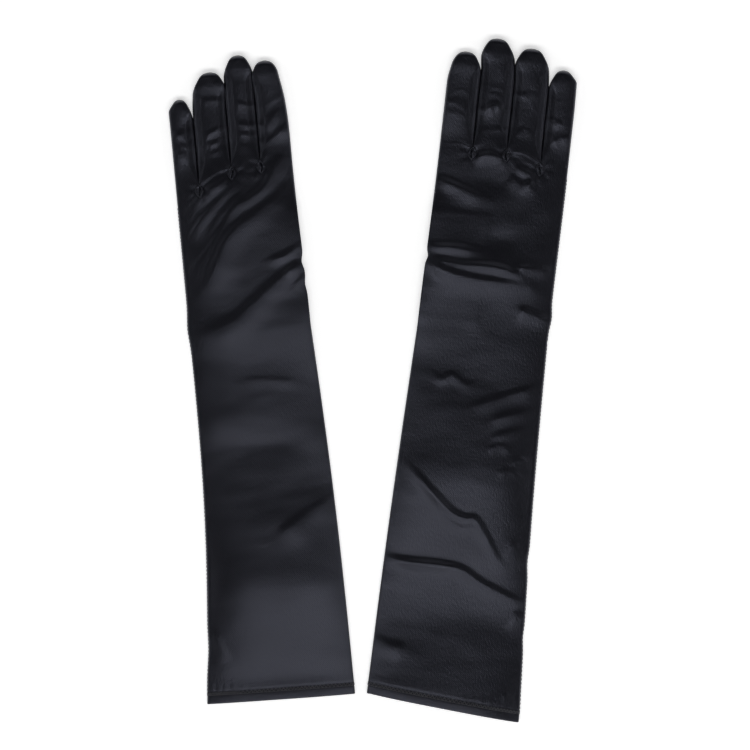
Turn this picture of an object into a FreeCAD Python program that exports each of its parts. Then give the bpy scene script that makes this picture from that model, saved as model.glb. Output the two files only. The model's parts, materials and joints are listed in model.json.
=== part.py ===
"""A pair of long satin opera gloves lying back up on a table, thumbs folded flat under the palms.

Each glove is a flattened sewn tube, open at the cuff. Its own axes are: X across the hand, Y from the
cuff to the fingertips, and Z up from the table. Widths are counted from the glove's centre line towards
the index side, and the right glove mirrors that side.
"""
import FreeCAD, Part
import os

# Thicknesses and heights that both gloves share, in millimetres.
CLOTH = {
    "wall": 0.8,             # satin with its lining
    "thumb_wall": 0.6,
    "sleeve_top": 12.0,      # height of the sleeve's back above the table
    "palm_low": 5.9,         # the palm lies on the folded thumb
    "hand_top": 13.9,
    "finger_top": 7.5,       # beyond the thumb the knuckles and fingers lie on the table
    "tip_top": 6.0,
    "tip_length": 12.0,      # the rounded end that lies beyond the fourchettes
    "tip_taper": 5.0,        # how far each side comes in over that end
    "thumb_top": 5.6,
    "hem_depth": 7.0,
    "hem_wall": 1.4,         # the hem is folded, so it is doubled cloth
    "stitch_width": 1.2,
    "thread_inset": 0.1,
    "seam_width": 1.4,
    "seam_depth": 0.6,
    "fold_gap": 1.5,         # the stretch of cloth that bends, between two bodies
    "thumb_room": 1.5,       # how far past the thumb's tip the palm starts down
    "quirk_length": 7.0,
    "quirk_room": 1.0,
    "quirk_width": 4.0,
    "quirk_point": 0.4,
    "overcut": 2.0,          # how far a cutting block runs past the cloth
}

# Each glove's place on the table, its outline and its thumb.
GLOVES = {
    "left": {
        "cuff_x": -73.525, "cuff_y": -257.066, "turn": 5.25,
        "cuff_little": -59.3, "cuff_index": 59.3,
        "wrist_line": 296.0, "wrist_little": -46.2, "wrist_index": 51.0,
        "thumb_inner": 15.5, "thumb_outer": 42.5, "thumb_base": 306.0, "thumb_tip": 384.0,
        "hole_start": 309.0, "hole_end": 329.0, "hole_margin": 4.5,
    },
    "right": {
        "cuff_x": 55.475, "cuff_y": -264.066, "turn": -6.3,
        "cuff_little": -61.8, "cuff_index": 61.6,
        "wrist_line": 300.0, "wrist_little": -51.2, "wrist_index": 53.6,
        "thumb_inner": 16.5, "thumb_outer": 44.5, "thumb_base": 310.0, "thumb_tip": 391.0,
        "hole_start": 313.0, "hole_end": 334.0, "hole_margin": 4.5,
    },
}

# Each finger: its two sides, where it leaves the hand, and its tip.
FINGERS = {
    "left": {
        "index": (23.2, 48.2, 427.0, 509.0),
        "middle": (-0.4, 22.4, 430.0, 515.0),
        "ring": (-27.2, -1.2, 424.0, 503.5),
        "little": (-46.5, -28.0, 412.0, 484.0),
    },
    "right": {
        "index": (25.4, 51.5, 445.0, 523.0),
        "middle": (-1.9, 24.6, 449.0, 536.0),
        "ring": (-29.7, -2.7, 446.0, 531.0),
        "little": (-52.5, -30.5, 438.0, 516.5),
    },
}

# The sides of each finger that a fourchette closes: its inner side, its outer side, or both.
FOURCHETTES = {
    "index": ("inner",),
    "middle": ("inner", "outer"),
    "ring": ("inner", "outer"),
    "little": ("outer",),
}

# Neighbouring fingers, which a quirk joins at the crotch between them: the index side comes first.
CROTCHES = (("index", "middle"), ("middle", "ring"), ("ring", "little"))

doc = FreeCAD.newDocument("OperaGloves")
nodes = []


def fill_sheet(name, values):
    """A spreadsheet with one alias for each named value."""
    sheet = doc.addObject("Spreadsheet::Sheet", name)
    for row, (alias, value) in enumerate(values.items(), start=1):
        sheet.set(f"A{row}", alias)
        sheet.set(f"B{row}", str(value))
        sheet.setAlias(f"B{row}", alias)
    return sheet


def finger_cells(side):
    """The finger table of one glove as named cells."""
    cells = {}
    for finger, (inner, outer, base, tip) in FINGERS[side].items():
        cells[f"{finger}_inner"] = inner
        cells[f"{finger}_outer"] = outer
        cells[f"{finger}_base"] = base
        cells[f"{finger}_tip"] = tip
    return cells


def cloth(alias):
    return f"Cloth.{alias}"


class Glove:
    """Builds the pieces of one glove, each sized by expressions on the sheets."""

    def __init__(self, side):
        self.side = side
        self.mirror = side == "right"
        self.sheet = side.capitalize() + "Glove"
        self.count = 0

    def at(self, alias):
        return f"{self.sheet}.{alias}"

    def block(self, across, along, height, across_end=None, height_end=None):
        """A straight-sided block. The end spans apply at its far end, towards the fingertips."""
        across_end = across_end or across
        height_end = height_end or height
        if self.mirror:
            across = (f"-({across[1]})", f"-({across[0]})")
            across_end = (f"-({across_end[1]})", f"-({across_end[0]})")
        self.count += 1
        wedge = doc.addObject("Part::Wedge", f"{self.sheet}Block{self.count}")
        for name, span in (("X", across), ("Y", along), ("Z", height), ("X2", across_end), ("Z2", height_end)):
            wedge.setExpression(f"{name}min", span[0])
            wedge.setExpression(f"{name}max", span[1])
        return wedge

    def cut(self, base, *tools):
        for tool in tools:
            self.count += 1
            result = doc.addObject("Part::Cut", f"{self.sheet}Cut{self.count}")
            result.Base = base
            result.Tool = tool
            base = result
        return base

    def fuse(self, *shapes):
        self.count += 1
        result = doc.addObject("Part::MultiFuse", f"{self.sheet}Fuse{self.count}")
        result.Shapes = list(shapes)
        result.Refine = True
        return result

    def keep(self, shape, name):
        """Makes a shape one of the glove's pieces and lays it in its place on the table."""
        shape.Label = f"{self.side}_{name}"
        shape.setExpression("Placement.Base.x", self.at("cuff_x"))
        shape.setExpression("Placement.Base.y", self.at("cuff_y"))
        shape.setExpression("Placement.Rotation.Angle", self.at("turn"))
        nodes.append(shape)

    # The sleeve narrows evenly from the cuff to the wrist.

    def sleeve_edge(self, edge, along):
        cuff, wrist = self.at(f"cuff_{edge}"), self.at(f"wrist_{edge}")
        return f"{cuff} + ({wrist} - {cuff}) * ({along}) / {self.at('wrist_line')}"

    def sleeve_block(self, start, end, low, high, inset):
        """A stretch of the sleeve's outline, brought in by inset on both sides."""
        spans = [
            (f"{self.sleeve_edge('little', along)} + {inset}", f"{self.sleeve_edge('index', along)} - {inset}")
            for along in (start, end)
        ]
        return self.block(spans[0], (start, end), (low, high), across_end=spans[1])

    def sleeve_ring(self, start, end, outer_inset, wall):
        """A closed band around the sleeve."""
        over = cloth("overcut")
        inner_inset = f"{outer_inset} + {wall}"
        top = f"{cloth('sleeve_top')}"
        outside = self.sleeve_block(start, end, outer_inset, f"{top} - {outer_inset}", outer_inset)
        inside = self.sleeve_block(
            f"{start} - {over}", f"{end} + {over}", inner_inset, f"{top} - ({inner_inset})", f"({inner_inset})")
        return self.cut(outside, inside)

    def make_cuff(self):
        hem_end = cloth("hem_depth")
        stitch_end = f"{hem_end} + {cloth('stitch_width')}"
        self.keep(self.sleeve_ring("0", hem_end, "0", cloth("hem_wall")), "cuff_hem")
        self.keep(self.sleeve_ring(hem_end, stitch_end, cloth("thread_inset"), cloth("wall")), "hem_stitching")

    def make_sleeve(self):
        wall, top, over = cloth("wall"), cloth("sleeve_top"), cloth("overcut")
        start, end = f"{cloth('hem_depth')} + {cloth('stitch_width')}", self.at("wrist_line")
        middle = f"{top} / 2"
        inside = self.sleeve_block(f"{start} - {over}", f"{end} + {over}", wall, f"{top} - {wall}", wall)
        self.keep(self.cut(self.sleeve_block(start, end, middle, top, "0"), inside), "sleeve_back")
        self.keep(self.cut(self.sleeve_block(start, end, "0", middle, "0"), inside), "sleeve_palm")
        seam = self.side_seam(
            self.sleeve_edge("little", start), self.sleeve_edge("little", end), (start, end), middle)
        self.keep(seam, "sleeve_side_seam")

    def side_seam(self, start_edge, end_edge, along, middle):
        """The row of thread that joins back to palm, inside the little finger's edge."""
        wall, depth, half = cloth("wall"), cloth("seam_depth"), f"{cloth('seam_width')} / 2"
        spans = [(f"{edge} + {wall}", f"{edge} + {wall} + {depth}") for edge in (start_edge, end_edge)]
        return self.block(spans[0], along, (f"{middle} - {half}", f"{middle} + {half}"), across_end=spans[1])

    # The hand lies level over the thumb, comes down past its tip, and meets the fingers on the table.

    def hand_start(self):
        return f"{self.at('wrist_line')} + {cloth('fold_gap')}"

    def hand_front(self):
        return f"{self.at('middle_base')} - {cloth('fold_gap')}"

    def slope_start(self):
        return f"{self.at('thumb_tip')} + {cloth('thumb_room')}"

    def slope_end(self):
        reach = f"({cloth('fold_gap')} + {cloth('quirk_length')} + {cloth('quirk_room')})"
        return f"{self.at('little_base')} - {reach}"

    def hand_edges(self, along, inset):
        """The hand's two edges, which run straight from the wrist to the outer fingers' sides."""
        share = f"({along} - ({self.hand_start()})) / ({self.hand_front()} - ({self.hand_start()}))"
        edges = []
        for wrist, knuckle in (("wrist_little", "little_inner"), ("wrist_index", "index_outer")):
            wrist, knuckle = self.at(wrist), self.at(knuckle)
            edges.append(f"{wrist} + ({knuckle} - {wrist}) * {share}")
        return f"{edges[0]} + {inset}", f"{edges[1]} - {inset}"

    def hand_block(self, raised, lowered, inset, run_past):
        """The hand's outline between two heights, given where it is raised and where it lies low."""
        stations = (
            (f"{self.hand_start()} - {run_past}", raised),
            (self.slope_start(), raised),
            (self.slope_end(), lowered),
            (f"{self.hand_front()} + {run_past}", lowered),
        )
        stretches = []
        for (start, height), (end, height_end) in zip(stations, stations[1:]):
            across, across_end = self.hand_edges(start, inset), self.hand_edges(end, inset)
            stretches.append(self.block(across, (start, end), height, across_end, height_end))
        return self.fuse(*stretches)

    def knuckle_notch(self, finger):
        """The room in front of a finger that leaves the hand sooner than the middle finger."""
        over = cloth("overcut")
        inner, outer = self.at(f"{finger}_inner"), self.at(f"{finger}_outer")
        if finger == "little":
            inner = f"{inner} - {over}"
        if finger == "index":
            outer = f"{outer} + {over}"
        along = (f"{self.at(f'{finger}_base')} - {cloth('fold_gap')}", f"{self.at('middle_base')} + {over}")
        return self.block((inner, outer), along, (f"-{over}", f"{cloth('hand_top')} + {over}"))

    def thumb_hole(self):
        """The hole through the palm, and through the thumb under it, that the thumb goes in by."""
        margin = self.at("hole_margin")
        across = (f"{self.at('thumb_inner')} + {margin}", f"{self.at('thumb_outer')} - {margin}")
        height = (f"{cloth('thumb_top')} / 2", f"{cloth('palm_low')} + {cloth('overcut')}")
        return self.block(across, (self.at("hole_start"), self.at("hole_end")), height)

    def make_hand(self):
        wall, low, top, finger_top = cloth("wall"), cloth("palm_low"), cloth("hand_top"), cloth("finger_top")
        middle, finger_middle = f"({low} + {top}) / 2", f"{finger_top} / 2"
        inside = self.hand_block(
            (f"{low} + {wall}", f"{top} - {wall}"), (wall, f"{finger_top} - {wall}"), wall, cloth("overcut"))
        notches = [self.knuckle_notch(finger) for finger in ("index", "ring", "little")]
        upper = self.hand_block((middle, top), (finger_middle, finger_top), "0", "0")
        self.keep(self.cut(upper, inside, *notches), "hand_back")
        lower = self.hand_block((low, middle), ("0", finger_middle), "0", "0")
        self.keep(self.cut(lower, inside, *notches, self.thumb_hole()), "hand_palm")
        along = (self.hand_start(), self.slope_start())
        edges = [self.hand_edges(end, "0")[0] for end in along]
        self.keep(self.side_seam(*edges, along, middle), "hand_side_seam")

    def make_quirk(self, index_side, little_side):
        """A small diamond gusset in the crotch between two fingers."""
        centre = f"({self.at(f'{index_side}_inner')} + {self.at(f'{little_side}_outer')}) / 2"
        half, point = f"{cloth('quirk_width')} / 2", f"{cloth('quirk_point')} / 2"
        front = f"min({self.at(f'{index_side}_base')}; {self.at(f'{little_side}_base')}) - {cloth('fold_gap')}"
        back, middle = f"{front} - {cloth('quirk_length')}", f"{front} - {cloth('quirk_length')} / 2"
        wide = (f"{centre} - {half}", f"{centre} + {half}")
        narrow = (f"{centre} - {point}", f"{centre} + {point}")
        height = (cloth("wall"), f"{cloth('finger_top')} - {cloth('wall')}")
        rear = self.block(narrow, (back, middle), height, across_end=wide)
        fore = self.block(wide, (middle, front), height, across_end=narrow)
        self.keep(self.fuse(rear, fore), f"{index_side}_{little_side}_quirk")

    # A finger is a back and a palm panel with fourchettes between them, closed at its tip.

    def finger_halves(self, finger, top, tip_top, open_sides, wall):
        """The upper and lower halves of a finger, hollow, with each open side left for a fourchette."""
        taper, over = cloth("tip_taper"), cloth("overcut")
        inner, outer = self.at(f"{finger}_inner"), self.at(f"{finger}_outer")
        base, tip = self.at(f"{finger}_base"), self.at(f"{finger}_tip")
        shoulder = f"{tip} - {cloth('tip_length')}"
        narrow = (f"{inner} + {taper}", f"{outer} - {taper}")
        middle, tip_middle = f"{top} / 2", f"{tip_top} / 2"

        def half(height, tip_height):
            body = self.block((inner, outer), (base, shoulder), height)
            cap = self.block((inner, outer), (shoulder, tip), height, narrow, tip_height)
            return self.fuse(body, cap)

        height, tip_height = (wall, f"{top} - {wall}"), (wall, f"{tip_top} - {wall}")
        hollow_inner = f"{inner} - {over}" if "inner" in open_sides else f"{inner} + {wall}"
        hollow_outer = f"{outer} + {over}" if "outer" in open_sides else f"{outer} - {wall}"
        hollow = self.block((hollow_inner, hollow_outer), (base, shoulder), height)
        hollow_cap = self.block(
            (f"{inner} + {wall}", f"{outer} - {wall}"), (shoulder, f"{tip} - {wall}"), height,
            (f"{narrow[0]} + {wall}", f"{narrow[1]} - {wall}"), tip_height)
        upper = self.cut(half((middle, top), (tip_middle, tip_top)), hollow, hollow_cap)
        lower = self.cut(half(("0", middle), ("0", tip_middle)), hollow, hollow_cap)
        return upper, lower

    def make_finger(self, finger):
        wall, top = cloth("wall"), cloth("finger_top")
        upper, lower = self.finger_halves(finger, top, cloth("tip_top"), FOURCHETTES[finger], wall)
        self.keep(upper, f"{finger}_back")
        self.keep(lower, f"{finger}_palm")
        shoulder = f"{self.at(f'{finger}_tip')} - {cloth('tip_length')}"
        for edge in FOURCHETTES[finger]:
            side = self.at(f"{finger}_{edge}")
            across = (side, f"{side} + {wall}") if edge == "inner" else (f"{side} - {wall}", side)
            strip = self.block(across, (self.at(f"{finger}_base"), shoulder), (wall, f"{top} - {wall}"))
            self.keep(strip, f"{finger}_{edge}_fourchette")

    def make_thumb(self):
        """The thumb is one piece wrapped round and seamed; it is closed behind by the seam to the palm."""
        wall, top = cloth("thumb_wall"), cloth("thumb_top")
        upper, lower = self.finger_halves("thumb", top, top, (), wall)
        base = self.at("thumb_base")
        heel = self.block(
            (self.at("thumb_inner"), self.at("thumb_outer")), (f"{base} - {wall}", base), ("0", f"{top} / 2"))
        self.keep(self.cut(upper, self.thumb_hole()), "thumb_back")
        self.keep(self.fuse(lower, heel), "thumb_palm")

    def make(self):
        self.make_cuff()
        self.make_sleeve()
        self.make_hand()
        for index_side, little_side in CROTCHES:
            self.make_quirk(index_side, little_side)
        for finger in FOURCHETTES:
            self.make_finger(finger)
        self.make_thumb()


fill_sheet("Cloth", CLOTH)
for side, outline in GLOVES.items():
    fill_sheet(side.capitalize() + "Glove", {**outline, **finger_cells(side)})
doc.recompute()
for side in GLOVES:
    Glove(side).make()
doc.recompute()

for item in doc.Objects:
    if "Invalid" in item.State or "Error" in item.State:
        raise SystemExit(f"{item.Name} did not compute")
for node in nodes:
    if node.Shape.isNull() or not node.Shape.isValid() or len(node.Shape.Solids) != 1:
        raise SystemExit(f"{node.Label} is not one valid solid")

os.makedirs("parts", exist_ok=True)
for node in nodes:
    node.Shape.exportStep(f"parts/{node.Label}.step")

box = FreeCAD.BoundBox()
for node in nodes:
    box.add(node.Shape.BoundBox)
print(f"{len(nodes)} pieces, {box.XLength:.2f} x {box.YLength:.2f} x {box.ZLength:.2f} mm, "
      f"centre {box.Center.x:.3f}, {box.Center.y:.3f}, lowest {box.ZMin:.3f}")
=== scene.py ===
"""A pair of long black satin opera gloves, lying back up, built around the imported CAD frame.

Each glove is one quad mesh: a flattened tube for the sleeve and hand, which splits at the crotches into
four fingers, and a thumb folded under the palm. The mesh is then cut along its seams into the frame's pieces.
Glove coordinates are in millimetres: u across the hand, towards the index side; v from the cuff to the
fingertips; and z up from the table.
"""
import json
import math

import bpy
import numpy as np
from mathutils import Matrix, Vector, noise


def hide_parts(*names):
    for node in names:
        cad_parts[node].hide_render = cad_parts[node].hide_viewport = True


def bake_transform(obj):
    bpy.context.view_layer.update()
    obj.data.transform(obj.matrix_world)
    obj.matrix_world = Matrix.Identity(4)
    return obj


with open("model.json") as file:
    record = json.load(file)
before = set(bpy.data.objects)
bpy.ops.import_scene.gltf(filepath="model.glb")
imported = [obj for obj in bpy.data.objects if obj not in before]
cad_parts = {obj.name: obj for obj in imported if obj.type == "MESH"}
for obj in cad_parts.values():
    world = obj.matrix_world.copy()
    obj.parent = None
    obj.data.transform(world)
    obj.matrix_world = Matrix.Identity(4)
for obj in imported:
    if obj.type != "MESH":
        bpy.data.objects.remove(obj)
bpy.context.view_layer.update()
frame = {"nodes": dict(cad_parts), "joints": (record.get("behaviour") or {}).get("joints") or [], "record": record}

MM = 0.001
FINGERS = ("little", "ring", "middle", "index")      # in order across the hand, towards the index side
RECORD = frame["record"]
JOINTS = {joint["name"]: joint for joint in frame["joints"]}
MOUNTS = {mount["name"]: mount for mount in RECORD["mounts"]}
SLOTS = {part["node"]: part["material_slot"] for part in RECORD["subparts"]}

FINGER_QUADS = 18       # across the top of one finger
STRIP_QUADS = 10        # down one side, from the upper seam to the lower seam
HALF_STRIP = STRIP_QUADS // 2
BODY_ROW = 1.7          # spacing of the rings along the sleeve and hand
FINGER_ROW = 1.5
TABLE_GAP = 0.25        # how high the cloth lies above the table
LAYER_GAP = 0.9         # how close the upper layer comes to the lower one


def smooth(t):
    t = np.clip(t, 0.0, 1.0)
    return t * t * (3.0 - 2.0 * t)


def hill(x, centre, reach):
    return np.exp(-((x - centre) / reach) ** 2)


def mix(a, b, share):
    return a + (b - a) * share


def unit(vectors):
    return vectors / np.maximum(np.linalg.norm(vectors, axis=-1, keepdims=True), 1e-12)


def wrapped(grid):
    """The grid with its first column again at the end, so that its rows are closed rings."""
    return np.concatenate([grid, grid[:, :1]], 1)


def quad_corners(grid):
    """The four corners of each quad of a grid, in order round it."""
    return np.stack([grid[:-1, :-1], grid[:-1, 1:], grid[1:, 1:], grid[1:, :-1]], 2)


# Folds as (height, width, points): the points run along the dark line where the cloth drops from a crest. The
# crest rises gently on the cuff side and falls steeply on the fingertip side.
FOLDS = {
    "left": [
        (1.1, 5.5, [(50, 440), (38, 430), (25, 411), (12, 402), (0, 395), (-12, 379), (-28, 360),
                    (-46, 343)]),
        (1.4, 8.0, [(54, 418), (40, 406), (23, 394), (6, 384), (-6, 374), (-16, 358), (-26, 340),
                    (-46, 318)]),
        (0.9, 4.5, [(2, 421), (-9, 416), (-18, 412), (-27, 406), (-34, 400), (-50, 382)]),
        (0.8, 4.0, [(4, 414), (-10, 404), (-23, 393), (-32, 383), (-42, 368)]),
        (0.6, 3.5, [(8, 407), (-2, 400), (-14, 388), (-24, 374)]),
        (1.3, 8.5, [(56, 352), (40, 342), (24, 332), (8, 319), (-8, 308), (-24, 301), (-50, 295)]),
        (1.1, 3.4, [(58, 362), (46, 359), (34, 353), (20, 350)]),
        (1.2, 4.0, [(58, 346), (44, 345), (32, 338)]),
        (1.1, 4.0, [(58, 338), (48, 334), (40, 326)]),
        (0.8, 8.0, [(56, 158), (32, 146), (8, 130)]),
        (0.35, 4.0, [(-8, 258), (14, 256), (36, 252)]),
        (1.2, 6.0, [(-54, 64), (-47, 52), (-39, 34)]),
    ],
    "right": [
        (1.5, 4.0, [(60, 368), (46, 367), (28, 368), (4, 366)]),
        (1.8, 4.4, [(60, 360), (42, 357), (26, 355), (2, 356), (-13, 354), (-32, 346)]),
        (2.0, 5.5, [(60, 356), (46, 352), (34, 348), (14, 345), (-8, 344), (-32, 343)]),
        (1.3, 4.5, [(-16, 357), (-34, 358), (-58, 357)]),
        (1.6, 4.5, [(-24, 325), (-38, 321), (-58, 317)]),
        (1.7, 5.0, [(56, 423), (36, 417), (10, 409)]),
        (1.5, 5.5, [(-6, 430), (-17, 423), (-28, 428)]),
        (1.0, 4.0, [(-8, 438), (-20, 433), (-30, 431)]),
        (1.3, 3.5, [(24, 439), (12, 444), (-3, 443)]),
        (1.0, 4.5, [(4, 242), (-24, 255), (-52, 265)]),
        (0.8, 4.0, [(-10, 232), (-27, 239), (-52, 246)]),
        (0.6, 4.0, [(-12, 218), (-30, 226), (-44, 228)]),
        (0.7, 3.6, [(40, 268), (30, 262), (22, 266), (10, 260), (2, 263)]),
        (0.5, 3.0, [(-12, 208), (-22, 214), (-34, 209)]),
        (0.5, 3.0, [(-30, 198), (-40, 205), (-52, 201)]),
        (0.5, 3.2, [(-22, 190), (-32, 195), (-46, 189)]),
        (1.7, 3.5, [(60, 200), (43, 186), (27, 172), (12, 159), (0, 154), (-9, 154), (-18, 143),
                    (-27, 129), (-36, 118)]),
        (2.1, 4.2, [(66, 118), (44, 115), (15, 115), (-3, 113), (-18, 105), (-35, 98), (-64, 88)]),
        (0.9, 3.2, [(26, 164), (14, 152), (2, 146), (-8, 147), (-14, 142)]),
        (1.2, 7.0, [(-36, 140), (-50, 132), (-64, 128)]),
        (1.0, 6.0, [(-46, 84), (-64, 76)]),
        (1.1, 7.0, [(66, 54), (50, 48), (34, 46)]),
        (0.9, 5.0, [(-44, 18), (-62, 14)]),
    ],
}
# The fingers' own cross wrinkles, written the same way.
FINGER_FOLDS = {
    "left": [
        (0.43, 2.6, [(5, 461), (13, 460), (21, 458)]), (0.43, 2.6, [(5, 454), (13, 452), (21, 451)]),
        (0.37, 3.0, [(5, 443), (12, 442), (18, 441)]), (0.37, 3.2, [(6, 478), (13, 476), (19, 474)]),
        (0.5, 2.6, [(-22, 454), (-14, 456), (-4, 460)]), (0.43, 2.6, [(-22, 446), (-15, 447), (-7, 447)]),
        (0.37, 2.6, [(-19, 438), (-12, 440), (-4, 443)]), (0.37, 2.8, [(-22, 480), (-12, 482), (-4, 480)]),
        (0.68, 4.2, [(25, 456), (33, 461), (42, 470)]), (0.81, 4.5, [(24, 443), (34, 447), (48, 458)]),
        (0.5, 3.6, [(-48, 455), (-40, 457), (-32, 459)]), (0.43, 3.2, [(-48, 440), (-40, 441), (-34, 442)]),
    ],
    "right": [
        (1.2, 3.2, [(20, 475), (15, 482), (10, 484), (3, 480)]), (0.5, 3.0, [(20, 462), (11, 464), (0, 465)]),
        (0.6, 2.6, [(18, 451), (11, 455), (4, 452)]), (1.0, 4.2, [(46, 441), (38, 447), (30, 455)]),
        (0.5, 3.6, [(-7, 459), (-14, 467), (-22, 461)]), (0.8, 4.5, [(-36, 459), (-44, 462), (-54, 467)]),
        (0.4, 3.0, [(-32, 478), (-38, 476), (-44, 473)]), (0.3, 3.0, [(-5, 492), (-14, 495), (-24, 493)]),
    ],
}

# The height of the middle of the upper layer above the table as (v, height): the long slopes of the satin.
PROFILE = {
    "left": [
        (0, 7.7), (7, 7.6), (16, 6.8), (44, 9.3), (70, 11.6), (82, 12.4), (98, 12.4), (196, 5.8), (206, 5.9),
        (226, 6.9), (262, 6.3), (270, 6.5), (292, 8.5), (312, 8.2), (346, 8.5), (380, 8.6), (404, 8.3),
        (424, 7.9), (440, 7.7), (470, 7.6)],
    "right": [
        (0, 13.2), (7, 13.0), (30, 10.6), (66, 6.8), (78, 6.3), (90, 6.7), (108, 7.9), (146, 10.5),
        (172, 12.5), (186, 12.8), (226, 10.3), (262, 8.1), (300, 7.6), (316, 7.6), (346, 9.5), (360, 9.6),
        (402, 7.5), (444, 7.2), (480, 6.8)],
}
EDGE_HEIGHT = 3.9       # the upper layer's height at the glove's two edges
CROWN_POWER = 3.2       # how late it falls away from its middle towards the edges
# The folded thumb under it: how much of the thumb's height it follows at its edge, how much softer its sides
# are there than in the lower layer, and where along the glove it climbs.
THUMB_SHARE = 0.62
THUMB_SPREAD = 9.0
CLIMB = {"left": (236, 304), "right": (268, 330)}

# Soft dents and swells of the upper layer as (height, u, v, reach across, reach along).
SWELLS = {
    "left": [(0.7, -20, 344, 26, 16), (0.5, 26, 372, 22, 14), (0.6, -34, 224, 24, 12),
             (0.5, 44, 208, 16, 14)],
    "right": [(-1.1, 8, 421, 20, 11), (-1.3, -2, 375, 20, 10), (0.8, 34, 334, 30, 12),
              (0.8, -34, 120, 18, 12), (-0.7, 30, 392, 14, 9), (0.6, -40, 404, 14, 14)],
}

# How far the sleeve's edges bow towards the index side, and how the cuff's line slants across the sleeve.
EDGE_BOW = {"left": {"little": 5.2, "index": 2.2}, "right": {"little": 2.0, "index": 1.1}}
CUFF_SLANT = {"left": -0.02, "right": 0.079}
# Dents in the two edges as (edge, v, depth, reach).
EDGE_DENTS = {
    "left": [("index", 346, 1.6, 5), ("index", 328, 1.0, 5), ("little", 300, -1.2, 12),
             ("little", 44, 0.9, 14)],
    "right": [("index", 357, 1.5, 4), ("little", 318, -1.2, 8), ("little", 122, 1.0, 9),
              ("little", 62, 0.8, 8)],
}
# How far each fingertip leans towards the index side.
LEAN = {
    "left": {"little": -0.2, "ring": 2.6, "middle": 1.0, "index": -2.6},
    "right": {"little": 0.6, "ring": 2.4, "middle": 2.9, "index": -0.2},
}
# How far below their tips the little and index fingers begin to narrow at the hand's outer edges.
TAPER = {"left": {"little": 8, "index": 56}, "right": {"little": 8, "index": 24}}


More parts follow.
